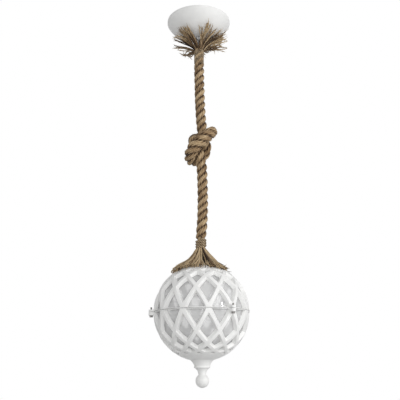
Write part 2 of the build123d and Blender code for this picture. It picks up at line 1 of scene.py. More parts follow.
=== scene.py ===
"""Looks of a hanging lantern: white canopy, knotted jute rope and a lattice globe with clear glass."""
import logging
import math
import random
from dataclasses import asdict, dataclass, fields
from enum import Enum
from typing import Any, Sequence

import bmesh
import bpy
from bpy.types import ID, Material, Mesh, Node, NodeSocket as Socket, NodeTree, Object
from mathutils import Matrix, Vector


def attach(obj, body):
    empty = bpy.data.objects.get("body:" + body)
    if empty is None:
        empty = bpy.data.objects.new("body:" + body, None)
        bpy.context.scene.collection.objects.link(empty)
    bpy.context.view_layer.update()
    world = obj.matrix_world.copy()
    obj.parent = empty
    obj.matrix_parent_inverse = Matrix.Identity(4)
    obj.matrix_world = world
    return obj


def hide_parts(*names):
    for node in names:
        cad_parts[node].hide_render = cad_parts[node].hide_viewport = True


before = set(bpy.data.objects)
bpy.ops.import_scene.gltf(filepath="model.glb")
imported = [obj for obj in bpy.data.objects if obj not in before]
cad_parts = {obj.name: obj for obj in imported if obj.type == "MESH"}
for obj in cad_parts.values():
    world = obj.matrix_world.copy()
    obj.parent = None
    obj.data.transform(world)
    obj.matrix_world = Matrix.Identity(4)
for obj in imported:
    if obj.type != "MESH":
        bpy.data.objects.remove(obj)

log = logging.getLogger("lantern")

Triple = tuple[float, float, float]
Profile = list[tuple[float, float]]

TURN = 2.0 * math.pi
PER_METRE = 1000


class Slot(Enum):
    """Material slots of the record."""

    PAINT = "white_paint"
    GLASS = "clear_glass"
    ROPE = "jute_rope"
    TWINE = "jute_twine"
    RUBBER = "seal_rubber"
    HOLDER = "holder_white"
    BLOCK = "block_white"
    BRASS = "socket_brass"
    STEEL = "plain_steel"


class Body(Enum):
    """CAD bodies that pieces ride on."""

    CANOPY = "canopy"
    PENDANT = "pendant"
    BOWL = "bowl"


class Tree(Enum):
    """Geometry Nodes trees."""

    ROPE = "laid_rope"
    YARN = "spun_yarn"
    FIBRE = "single_fibre"
    FUZZ = "loose_fibres"


class Graph:
    """A node tree that is put together one node at a time."""

    def __init__(self, tree: NodeTree) -> None:
        """Keeps the tree."""
        self.tree = tree

    def feed(self, socket: Socket, value: Any) -> None:
        """Links a socket or sets its value.

        Args:
            socket: The input to feed.
            value: A link or a plain value.
        """
        if isinstance(value, Socket):
            self.tree.links.new(value, socket)
        else:
            socket.default_value = value

    def add(self, kind: str, inputs: dict[Any, Any] | None = None, **settings: Any) -> Node:
        """Adds a node.

        Args:
            kind: Blender's name of the node type.
            inputs: Links or values by the socket's name or place.
            settings: Properties of the node itself.

        Returns:
            The new node.
        """
        node = self.tree.nodes.new(kind)
        for name, value in settings.items():
            setattr(node, name, value)
        for key, value in (inputs or {}).items():
            self.feed(node.inputs[key], value)
        return node

    def out(self, kind: str, inputs: dict[Any, Any] | None = None, **settings: Any) -> Socket:
        """Returns the first output of a node made by add."""
        return self.add(kind, inputs, **settings).outputs[0]

    def math(self, operation: str, *values: Any) -> Socket:
        """Returns the result of a Math node on links or numbers."""
        return self.out("ShaderNodeMath", dict(enumerate(values)), operation=operation)

    def vector(self, operation: str, *values: Any) -> Socket:
        """Returns the vector result of a Vector Math node."""
        return self.out("ShaderNodeVectorMath", dict(enumerate(values)), operation=operation)

    def scaled(self, vector: Any, factor: Any) -> Socket:
        """Returns a vector times a number."""
        return self.out("ShaderNodeVectorMath", {0: vector, "Scale": factor}, operation="SCALE")

    def eased(self, value: Any, low: float, high: float) -> Socket:
        """Returns a number that goes smoothly from 0 at low to 1 at high."""
        inputs = {"Value": value, "From Min": low, "From Max": high}
        return self.out("ShaderNodeMapRange", inputs, interpolation_type="SMOOTHSTEP")

    def noise(self, vector: Any, scale: float, detail: float = 3.0, rough: float = 0.5) -> Socket:
        """Returns the value of a noise texture at a position."""
        inputs = {"Vector": vector, "Scale": scale, "Detail": detail, "Roughness": rough}
        return self.out("ShaderNodeTexNoise", inputs)


class Shader(Graph):
    """A material's node tree around one Principled BSDF."""

    def __init__(self, name: str) -> None:
        """Starts a material.

        Args:
            name: Name of the material.
        """
        self.material = bpy.data.materials.new(name)
        self.material.use_nodes = True
        super().__init__(self.material.node_tree)
        self.surface = self.tree.nodes["Principled BSDF"]

    def give(self, **values: Any) -> None:
        """Feeds sockets of the surface, named with underscores for spaces."""
        for name, value in values.items():
            self.feed(self.surface.inputs[name.replace("_", " ")], value)

    def place(self) -> Socket:
        """Returns the Object coordinates."""
        return self.add("ShaderNodeTexCoord").outputs["Object"]

    def attribute(self, name: str) -> Socket:
        """Returns a number stored on the mesh."""
        return self.add("ShaderNodeAttribute", attribute_name=name).outputs["Fac"]

    def ramp(self, factor: Any, stops: Sequence[tuple[float, Triple]]) -> Socket:
        """Adds a colour ramp.

        Args:
            factor: Link that picks the colour.
            stops: Places from 0 to 1, each with its colour.

        Returns:
            The colour.
        """
        node = self.add("ShaderNodeValToRGB", {0: factor})
        steps = node.color_ramp.elements
        while len(steps) < len(stops):
            steps.new(0.5)
        for step, (at, color) in zip(steps, stops):
            step.position = at
            step.color = (*color, 1.0)
        return node.outputs[0]

    def bump(self, height: Any, strength: float, depth: float) -> Socket:
        """Returns a normal with a bump of a depth in metres."""
        return self.out("ShaderNodeBump", {"Height": height, "Strength": strength, "Distance": depth})


@dataclass(frozen=True)
class Paint:
    """Powder coat or moulded plastic: a fine grain, faint dust and a soft sheen."""

    name: str
    color: Triple
    roughness: float
    grain: float = 900.0
    depth: float = 0.00012
    dust: float = 0.06
    patch: float = 22.0
    dusty_clean: tuple[float, float] = (0.32, 0.62)
    uneven: float = 0.12
    bite: float = 0.35

    def make(self) -> Material:
        """Makes the material.

        Returns:
            The material.
        """
        shader = Shader(self.name)
        place = shader.place()
        patches = shader.noise(place, self.patch, detail=5.0, rough=0.6)
        low = tuple(c * (1.0 - self.dust) for c in self.color)
        grain = shader.noise(place, self.grain, detail=2.0)
        rough = shader.math("MULTIPLY_ADD", patches, self.uneven, self.roughness - self.uneven / 2)
        color = shader.ramp(patches, list(zip(self.dusty_clean, (low, self.color))))
        shader.give(Base_Color=color, Roughness=rough, Normal=shader.bump(grain, self.bite, self.depth))
        return shader.material


@dataclass(frozen=True)
class ClearGlass:
    """Clear glass with a pale haze, a slow wave and more mirror towards its edges."""

    name: str
    tint: Triple
    veil: Triple
    haze: float
    roughness: float = 0.03
    mirror: float = 0.04
    edge_power: float = 5.0
    wave: float = 14.0
    bite: float = 0.15
    depth: float = 0.001

    def make(self) -> Material:
        """Makes the material.

        Returns:
            The material.
        """
        shader = Shader(self.name)
        shader.tree.nodes.remove(shader.surface)
        wave = shader.noise(shader.place(), self.wave, detail=2.0)
        ripple = shader.bump(wave, self.bite, self.depth)
        clear = shader.out("ShaderNodeBsdfTransparent", {"Color": (*self.tint, 1.0)})
        pale = shader.out("ShaderNodeBsdfDiffuse", {"Color": (*self.veil, 1.0)})
        body = shader.out("ShaderNodeMixShader", {0: self.haze, 1: clear, 2: pale})
        shine = shader.out("ShaderNodeBsdfGlossy", {"Roughness": self.roughness, "Normal": ripple})
        facing = shader.add("ShaderNodeLayerWeight", {"Blend": 0.5}).outputs["Facing"]
        rise = shader.math("POWER", facing, self.edge_power)
        share = shader.math("MULTIPLY_ADD", rise, 1.0 - self.mirror, self.mirror)
        mix = shader.out("ShaderNodeMixShader", {0: share, 1: body, 2: shine})
        shader.feed(shader.tree.nodes["Material Output"].inputs["Surface"], mix)
        return shader.material


@dataclass(frozen=True)
class Fibre:
    """Jute: streaks along the yarn, painted shade from its points and a dry surface, coloured from deep to
    light.
    """

    name: str
    colors: tuple[Triple, ...]
    streak_length: float = 0.022
    streaks_around: float = 26.0
    # How far the painted shade on the points darkens the colour.
    painted_shade_depth: float = 0.34
    tone_jump: float = 37.0
    tone_share: float = 0.2
    patch: float = 70.0
    patch_share: float = 0.35
    stops: tuple[float, ...] = (0.06, 0.27, 0.43, 0.62)
    roughness: float = 0.88
    gloss: float = 0.2
    sheen: float = 0.12
    bite: float = 0.7
    depth: float = 0.0005

    def make(self) -> Material:
        """Makes the material.

        Returns:
            The material.
        """
        shader = Shader(self.name)
        along = shader.math("DIVIDE", shader.attribute("along"), self.streak_length)
        around = shader.math("MULTIPLY", shader.attribute("around"), self.streaks_around)
        tone = shader.attribute("tone")
        jump = shader.math("MULTIPLY", tone, self.tone_jump)
        run = shader.out("ShaderNodeCombineXYZ", {0: along, 1: around, 2: jump})
        streaks = shader.noise(run, 1.0, detail=5.0, rough=0.62)
        patches = shader.noise(shader.place(), self.patch, rough=0.6)
        lines = shader.math("MULTIPLY", streaks, 1.0 - self.patch_share)
        mixed = shader.math("MULTIPLY_ADD", patches, self.patch_share, lines)
        apart = shader.math("SUBTRACT", tone, 0.5)
        shifted = shader.math("MULTIPLY_ADD", apart, self.tone_share, mixed)
        # Painted shade: the number on the mesh's points darkens the colour.
        shade = shader.math("MULTIPLY_ADD", shader.attribute("painted_shade"), -self.painted_shade_depth, shifted)
        shader.give(
            Base_Color=shader.ramp(shade, list(zip(self.stops, self.colors))),
            Roughness=self.roughness,
            Specular_IOR_Level=self.gloss,
            Sheen_Weight=self.sheen,
            Normal=shader.bump(streaks, self.bite, self.depth),
        )
        return shader.material


@dataclass(frozen=True)
class Metal:
    """Turned or plated metal with fine brush marks round its axis."""

    name: str
    color: Triple
    roughness: float
    stretch: Triple = (40.0, 40.0, 2500.0)
    uneven: float = 0.2
    dull: float = 0.8
    worn_bright: tuple[float, float] = (0.35, 0.65)
    bite: float = 0.2
    depth: float = 0.0001

    def make(self) -> Material:
        """Makes the material.

        Returns:
            The material.
        """
        shader = Shader(self.name)
        brushed = shader.out("ShaderNodeMapping", {"Vector": shader.place(), "Scale": self.stretch})
        marks = shader.noise(brushed, 1.0)
        rough = shader.math("MULTIPLY_ADD", marks, self.uneven, self.roughness - self.uneven / 2)
        low = tuple(self.dull * c for c in self.color)
        color = shader.ramp(marks, list(zip(self.worn_bright, (low, self.color))))
        normal = shader.bump(marks, self.bite, self.depth)
        shader.give(Base_Color=color, Metallic=1.0, Roughness=rough, Normal=normal)
        return shader.material


FINISHES = {
    Slot.PAINT: Paint("white_paint", (0.80, 0.80, 0.79), 0.42),
    Slot.GLASS: ClearGlass("clear_glass", (0.97, 0.97, 0.97), (0.97, 0.97, 0.97), 0.33),
    Slot.ROPE: Fibre(
        "jute_rope",
        ((0.018, 0.010, 0.006), (0.074, 0.043, 0.023), (0.235, 0.15, 0.079), (0.515, 0.39, 0.235)),
    ),
    Slot.TWINE: Fibre(
        "jute_twine",
        ((0.03, 0.018, 0.01), (0.12, 0.078, 0.044), (0.31, 0.225, 0.135), (0.52, 0.42, 0.285)),
        streak_length=0.008,
        streaks_around=14.0,
    ),
    Slot.RUBBER: Paint("seal_rubber", (0.05, 0.05, 0.05), 0.7),
    Slot.HOLDER: Paint("holder_white", (0.80, 0.80, 0.78), 0.22, grain=1500.0, depth=0.00004, dust=0.03),
    Slot.BLOCK: Paint("block_white", (0.74, 0.74, 0.71), 0.5),
    Slot.BRASS: Metal("socket_brass", (0.66, 0.45, 0.18), 0.3),
    Slot.STEEL: Metal("plain_steel", (0.30, 0.29, 0.28), 0.42),
}


@dataclass(frozen=True)
class Lay:
    """Sizes of a laid rope and its strands."""

    step: float
    pitch: float
    offset: float
    radius: float
    turn: float
    lump: float


@dataclass(frozen=True)
class Spin:
    """How a yarn is spun, with its turn in radians a metre."""

    step: float
    turn: float


@dataclass(frozen=True)
class Fuzz:
    """Loose fibres, with how many stand on a square metre."""

    density: float
    length: float
    radius: float
    seed: int


@dataclass(frozen=True)
class Section:
    """Section of a strand or a yarn. Its pinch is a share of its radius."""

    sides: int
    lobes: int
    pinch: float


class GeometryGraph(Graph):
    """A Geometry Nodes tree with named inputs, ending in Realize Instances and Set Material."""

    def __init__(self, tree: Tree) -> None:
        """Starts a tree with its first inputs.

        Args:
            tree: Which tree it is.
        """
        super().__init__(bpy.data.node_groups.new(tree.value, "GeometryNodeTree"))
        self.tree.interface.new_socket("Geometry", in_out="OUTPUT", socket_type="NodeSocketGeometry")
        self.entry = self.tree.nodes.new("NodeGroupInput")
        self.geometry = self.input("Geometry", "Geometry")
        self.finish = self.input("Finish", "Material")

    def input(self, name: str, kind: str = "Float") -> Socket:
        """Adds a named input and returns its link."""
        self.tree.interface.new_socket(name, in_out="INPUT", socket_type="NodeSocket" + kind)
        return self.entry.outputs[name]

    def store(self, geometry: Any, name: str, value: Any, kind: str = "FLOAT") -> Socket:
        """Returns the geometry with a number or a vector stored on its points."""
        inputs = {"Geometry": geometry, "Value": value, "Name": name}
        return self.out("GeometryNodeStoreNamedAttribute", inputs, data_type=kind, domain="POINT")

    def stored(self, name: str, kind: str = "FLOAT") -> Socket:
        """Returns a number or a vector that the points carry."""
        return self.out("GeometryNodeInputNamedAttribute", {"Name": name}, data_type=kind)

    def moved(self, geometry: Any, offset: Any) -> Socket:
        """Returns the geometry moved by an offset."""
        return self.out("GeometryNodeSetPosition", {"Geometry": geometry, "Offset": offset})

    def path(self, step: Any) -> Socket:
        """Returns the mesh's edges as curves with points at even steps."""
        line = self.out("GeometryNodeMeshToCurve", {"Mesh": self.geometry})
        return self.out("GeometryNodeResampleCurve", {"Curve": line, "Length": step}, mode="LENGTH")

    def length(self) -> Socket:
        """Returns how far along its curve a point lies."""
        return self.add("GeometryNodeSplineParameter").outputs["Length"]

    def spun(self, curve: Any, turn: Any, section: Section, radius: Any) -> Socket:
        """Spins a section round curves, pinched between its lobes.

        Args:
            curve: The curves.
            turn: Its turn in radians a metre.
            section: The section.
            radius: Its radius.

        Returns:
            The mesh, which carries its place along and around.
        """
        sides = section.sides
        circle = self.out("GeometryNodeCurvePrimitiveCircle", {"Resolution": sides, "Radius": 1.0})
        index = self.out("GeometryNodeInputIndex")
        wave = self.math("SINE", self.math("MULTIPLY", index, math.pi * section.lobes / sides))
        low = self.math("SUBTRACT", self.math("ABSOLUTE", wave), 1.0)
        pinch = self.math("MULTIPLY", low, section.pinch)
        shaped = self.moved(circle, self.scaled(self.out("GeometryNodeInputPosition"), pinch))
        length = self.length()
        marked = self.store(curve, "along", length)
        tilt = self.math("MULTIPLY", length, turn)
        inputs = {
            "Curve": self.out("GeometryNodeSetCurveTilt", {"Curve": marked, "Tilt": tilt}),
            "Profile Curve": self.store(shaped, "around", self.math("DIVIDE", index, float(sides))),
            "Scale": radius,
            "Fill Caps": True,
        }
        return self.out("GeometryNodeCurveToMesh", inputs)

    def end(self, geometry: Any) -> NodeTree:
        """Closes the tree.

        Args:
            geometry: What the tree gives.

        Returns:
            The tree.
        """
        smooth = self.out("GeometryNodeSetShadeSmooth", {"Geometry": geometry})
        real = self.out("GeometryNodeRealizeInstances", {"Geometry": smooth})
        done = self.out("GeometryNodeSetMaterial", {"Geometry": real, "Material": self.finish})
        self.add("NodeGroupOutput", {"Geometry": done})
        return self.tree


STRAND = Section(sides=40, lobes=8, pinch=0.16)
STRAND_TONES = (0.3, 0.5, 0.7)
LUMP_SCALE = 90.0
# Facing values between which a strand goes from full painted shade to none.
PAINTED_SHADE_FACING = (0.85, 0.15)


def laid_rope_tree() -> NodeTree:
    """Makes the tree that lays three strands of yarns round a path, with painted shade in the grooves
    between them.

    Returns:
        The tree.
    """
    graph = GeometryGraph(Tree.ROPE)
    step, pitch, offset, radius, turn, height = (graph.input(size.name) for size in fields(Lay))
    even = graph.path(step)
    normal = graph.out("GeometryNodeInputNormal")
    side = graph.vector("CROSS_PRODUCT", graph.out("GeometryNodeInputTangent"), normal)
    lay = graph.math("DIVIDE", graph.math("MULTIPLY", graph.length(), TURN), pitch)
    girth = graph.stored("girth")
    away = graph.stored("outward", "FLOAT_VECTOR")
    join = graph.add("GeometryNodeJoinGeometry")
    for strand, tone in enumerate(STRAND_TONES):
        angle = graph.math("ADD", lay, TURN * strand / len(STRAND_TONES))
        first = graph.scaled(normal, graph.math("COSINE", angle))
        outward = graph.vector("ADD", first, graph.scaled(side, graph.math("SINE", angle)))
        aimed = graph.store(even, "outward", outward, "FLOAT_VECTOR")
        laid = graph.moved(aimed, graph.scaled(away, graph.math("MULTIPLY", offset, girth)))
        graph.feed(join.inputs[0], graph.store(laid, "tone", tone))
    plain = graph.spun(join.outputs[0], turn, STRAND, graph.math("MULTIPLY", radius, girth))
    outside = graph.out("GeometryNodeInputNormal")
    noise = graph.noise(graph.out("GeometryNodeInputPosition"), LUMP_SCALE)
    lumps = graph.math("MULTIPLY", graph.math("SUBTRACT", noise, 0.5), height)
    strands = graph.moved(plain, graph.scaled(outside, lumps))
    # Painted shade: surface that turns away from the rope's outside, into the grooves between strands, is
    # darkened.
    facing = graph.add("ShaderNodeVectorMath", {0: outside, 1: away}, operation="DOT_PRODUCT")
    painted_shade = graph.eased(facing.outputs["Value"], *PAINTED_SHADE_FACING)
    return graph.end(graph.store(strands, "painted_shade", painted_shade))


def yarn_tree(tree: Tree, section: Section) -> NodeTree:
    """Makes a tree that spins a yarn or a fibre round every path, as thick as its points say.

    Args:
        tree: Which tree it is.
        section: Section of the yarn.

    Returns:
        The tree.
    """
    graph = GeometryGraph(tree)
    even = graph.path(graph.input("step"))
    return graph.end(graph.spun(even, graph.input("turn"), section, graph.stored("girth")))


def fuzz_tree() -> NodeTree:
    """Makes the tree that stands loose fibres on a surface.

    Returns:
        The tree.
    """
    bend, sweep = 0.7, 1.2
    lean, spin = 0.9, 6.28
    shortest, size_seed = 0.35, 9
    graph = GeometryGraph(Tree.FUZZ)
    density, length, radius = (graph.input(name) for name in ("density", "length", "radius"))
    inputs = {"Mesh": graph.geometry, "Density": density, "Seed": graph.input("seed", "Int")}
    points = graph.add("GeometryNodeDistributePointsOnFaces", inputs)
    arc = graph.out("GeometryNodeCurveArc", {"Resolution": 4, "Radius": bend, "Sweep Angle": sweep})
    inputs = {"Resolution": 3, "Radius": graph.math("DIVIDE", radius, length)}
    ring = graph.out("GeometryNodeCurvePrimitiveCircle", inputs)
    hair = graph.out("GeometryNodeCurveToMesh", {"Curve": arc, "Profile Curve": ring})
    inputs = {"Geometry": hair, "Translation": (-bend, 0.0, 0.0), "Rotation": (math.pi / 2, 0.0, 0.0)}
    stood = graph.out("GeometryNodeTransform", inputs)
    limits = {0: (-lean, -lean, 0.0), 1: (lean, lean, spin)}
    angles = graph.out("FunctionNodeRandomValue", limits, data_type="FLOAT_VECTOR")
    turned = graph.out("FunctionNodeEulerToRotation", {0: angles})
    inputs = {"Rotation": points.outputs["Rotation"], "Rotate By": turned}
    aim = graph.out("FunctionNodeRotateRotation", inputs, rotation_space="LOCAL")
    size = graph.add("FunctionNodeRandomValue", {2: shortest, 3: 1.0, "Seed": size_seed}, data_type="FLOAT")
    inputs = {
        "Points": points.outputs["Points"],
        "Instance": stood,
        "Rotation": aim,
        "Scale": graph.scaled((1.0, 1.0, 1.0), graph.math("MULTIPLY", size.outputs[1], length)),
    }
    return graph.end(graph.out("GeometryNodeInstanceOnPoints", inputs))


def add_object(name: str, data: ID) -> Object:
    """Adds an object to the scene.

    Args:
        name: Name of the object.
        data: Its mesh, lamp or the like.

    Returns:
        The object.
    """
    obj = bpy.data.objects.new(name, data)
    bpy.context.scene.collection.objects.link(obj)
    return obj


def final_mesh(obj: Object) -> Mesh:
    """Returns an object's mesh as its curve and modifiers make it."""
    graph = bpy.context.evaluated_depsgraph_get()
    return bpy.data.meshes.new_from_object(obj.evaluated_get(graph), depsgraph=graph)


@dataclass
class Path:
    """One yarn: its points, its thickness and painted shade at each, and its own tone."""

    points: list[Vector]
    girths: list[float]
    painted_shades: list[float]
    tone: float


def path_mesh(name: str, paths: Sequence[Path]) -> Mesh:
    """Makes a mesh of edges along paths, with girth, painted shade and tone on its points.

    Args:
        name: Name of the mesh.
        paths: The paths.

    Returns:
        The mesh.
    """
    mesh = bpy.data.meshes.new(name)
    points: list[Vector] = []
    edges: list[tuple[int, int]] = []
    carried: dict[str, list[float]] = {"girth": [], "painted_shade": [], "tone": []}
    for path in paths:
        first = len(points)
        points += path.points
        carried["girth"] += path.girths
        carried["painted_shade"] += path.painted_shades
        carried["tone"] += [path.tone] * len(path.points)
        edges += [(i, i + 1) for i in range(first, len(points) - 1)]
    mesh.from_pydata(points, edges, [])
    for key, values in carried.items():
        mesh.attributes.new(key, "FLOAT", "POINT").data.foreach_set("value", values)
    return mesh


def polar(radius: float, azimuth: float, height: float) -> Vector:
    """Returns a point from its distance to the axis, azimuth in degrees and height."""
    a = math.radians(azimuth)
    return Vector((radius * math.sin(a), -radius * math.cos(a), height))


def between(stations: Sequence[tuple[float, ...]], share: float) -> list[float]:
    """Finds a place on a smooth curve through stations.

    Args:
        stations: Values at each station.
        share: How far along, from 0 to 1.

    Returns:
        The values there.
    """
    place = share * (len(stations) - 1)
    i = min(int(place), len(stations) - 2)
    t = place - i
    rows = [stations[max(0, min(len(stations) - 1, i + k))] for k in (-1, 0, 1, 2)]
    out = []
    for a, b, c, d in zip(*rows):
        out.append(b + 0.5 * t * (c - a + t * (2 * a - 5 * b + 4 * c - d + t * (3 * (b - c) + d - a))))
    return out


@dataclass
class Assembly:
    """A sub-assembly and what it is made with."""

    finishes: dict[Slot, Material]
    trees: dict[Tree, NodeTree]

    def grow(
        self, name: str, mesh: Mesh, tree: Tree, slot: Slot, sizes: Lay | Spin | Fuzz, *nodes: str
    ) -> Object:
        """Runs a Geometry Nodes tree on a mesh and keeps the result as a plain mesh on the pendant.

        Args:
            name: Name of the piece.
            mesh: What the tree starts from.
            tree: The tree.
            slot: Slot of its finish.
            sizes: Values of the tree's named inputs.
            nodes: CAD nodes that it stands for.

        Returns:
            The piece.
        """
        obj = add_object(name, mesh)
        group = self.trees[tree]
        modifier = obj.modifiers.new(group.name, "NODES")
        modifier.node_group = group
        wanted = {"Finish": self.finishes[slot], **asdict(sizes)}
        for item in group.interface.items_tree:
            if item.in_out == "INPUT" and item.name in wanted:
                modifier[item.identifier] = wanted[item.name]
        made = final_mesh(obj)
        obj.modifiers.clear()
        obj.data = made
        made.name = name
        log.info("%s: %d faces", name, len(made.polygons))
        self.settle(obj, Body.PENDANT, slot, *nodes)
        return obj

    def settle(self, obj: Object, body: Body, slot: Slot, *nodes: str) -> None:
        """Ties a piece to the frame, with its finish where it has none yet.

        Args:
            obj: The piece.
            body: Body that it rides on.
            slot: Its material slot.
            nodes: CAD nodes that it stands for.
        """
        if not obj.data.materials:
            obj.data.materials.append(self.finishes[slot])
        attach(obj, body.value)
        if nodes:
            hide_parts(*nodes)


ROUTE = (
    (0, 0, -84), (0, 0, -236),
    (6, 5, -350), (19, 9, -388), (13, 32, -409), (-12, 33, -425), (-31, 5, -432), (-25, -27, -414),
    (2, -34, -388), (28, -24, -364), (38, 4, -345), (24, 34, -343), (-7, 38, -354), (-22, 12, -368),
    (-8, -2, -402), (5, -1, -440),
    (7, 0, -535), (5, 0, -612), (0, 0, -655),
)


@dataclass
class Rope(Assembly):
    """Three-strand rope with one overhand knot, from the canopy to the globe."""

    radius: float = 0.0135
    length: float = 0.93
    top: float = -0.084
    end: float = -0.655
    lay: Lay = Lay(step=0.0024, pitch=0.063, offset=0.0073, radius=0.0068, turn=-35.0, lump=0.0006)
    hair: Fuzz = Fuzz(density=26000.0, length=0.006, radius=0.00011, seed=4)
    full: float = 1.05
    tight: float = 0.08
    top_taper: float = 0.055
    end_taper: float = 0.02
    knot_height: float = -0.386
    knot_spread: float = 0.05
    knot_front: float = 0.024
    knot_full: float = 0.06
    front_full: float = 0.22
    closest: float = 1e-4

    def centreline(self) -> Mesh:
        """Draws the line through the rope's middle, along the route in millimetres.

        Returns:
            Edges read from its NURBS spline.
        """
        curve = bpy.data.curves.new("rope_route", "CURVE")
        curve.dimensions = "3D"
        spline = curve.splines.new("NURBS")
        spline.points.add(len(ROUTE) - 1)
        for point, place in zip(spline.points, ROUTE):
            point.co = (*(value / PER_METRE for value in place), 1.0)
        spline.order_u = 3
        spline.use_endpoint_u = True
        spline.resolution_u = 24
        obj = add_object("rope_route", curve)
        mesh = final_mesh(obj)
        bpy.data.objects.remove(obj)
        return mesh

    def girth(self, place: Vector) -> float:
        """Says how full the rope is: tight at its ends and open in the knot's front.

        Args:
            place: A place on its middle line.

        Returns:
            The girth, as a share of the strands' sizes.
        """
        above = 1.0 - (self.top - place.z) / self.top_taper
        below = 1.0 - (place.z - self.end) / self.end_taper
        knot = math.exp(-((place.z - self.knot_height) / self.knot_spread) ** 2)
        front = max(0.0, min(1.0, -place.y / self.knot_front))
        more = knot * (self.knot_full + self.front_full * front)
        return self.full - self.tight * max(0.0, above, below) + more

    def build(self) -> None:
        """Lays the strands and stands loose fibres on them."""
        line = self.centreline()
        places = [v.co.copy() for v in line.vertices]
        girths = [self.girth(p) for p in places]
        line.attributes.new("girth", "FLOAT", "POINT").data.foreach_set("value", girths)
        nodes = ("rope_upper", "rope_knot", "rope_lower")
        rope = self.grow("rope", line, Tree.ROPE, Slot.ROPE, self.lay, *nodes)
        hair = self.grow("rope_fibres", rope.data.copy(), Tree.FUZZ, Slot.ROPE, self.hair)


@dataclass(frozen=True)
class Tuft:
    """Yarns that end together: where their tips are, in millimetres, how they lie and how much painted light
    their tips get.
    """

    azimuth: float
    reach: float
    height: float
    count: int
    spread: float
    curl: float = 3.0
    # Painted light: tufts on the lit right side get lighter tips, one on the left darker ones.
    pale: float = 0.0


TUFTS = (
    Tuft(-67, 68, -51, 6, 6), Tuft(-52, 69, -50, 7, 6),
    Tuft(-37, 69, -49, 7, 6), Tuft(-25, 67, -49, 5, 5),
    Tuft(8, 65, -53, 3, 6, 3, 0.1), Tuft(20, 78, -44, 6, 4, 3, 0.25),
    Tuft(27, 72, -45, 6, 4, 3, 0.25), Tuft(45, 67, -51, 4, 6, 3, 0.05),
    Tuft(62, 72, -48, 6, 6, 4, 0.1), Tuft(75, 75, -47, 7, 6, 5, 0.2),
    Tuft(88, 76, -50, 7, 5, 5, 0.25), Tuft(99, 75, -54, 7, 5, 5, 0.25),
    Tuft(110, 70, -58, 6, 6, 5, 0.25), Tuft(121, 90, -62, 4, 3, 4, 0.1),
    Tuft(132, 72, -63, 4, 7, 6, 0.1), Tuft(154, 70, -64, 5, 9, 6),
    Tuft(178, 72, -68, 5, 9, 6), Tuft(-154, 82, -73, 4, 4, 7),
    Tuft(-144, 80, -71, 4, 4, 7), Tuft(-120, 84, -60, 6, 3, 5, -0.1),
    Tuft(-98, 73, -50, 3, 2), Tuft(-84, 74, -49, 4, 2),
)
# Where the skirt is longer: azimuth, width and millimetres.
SKIRT_LONGER = ((-82, 26, 7), (84, 16, 2))
SKIRT_FADES = (-0.5, -0.2, 0.3, 1.0)


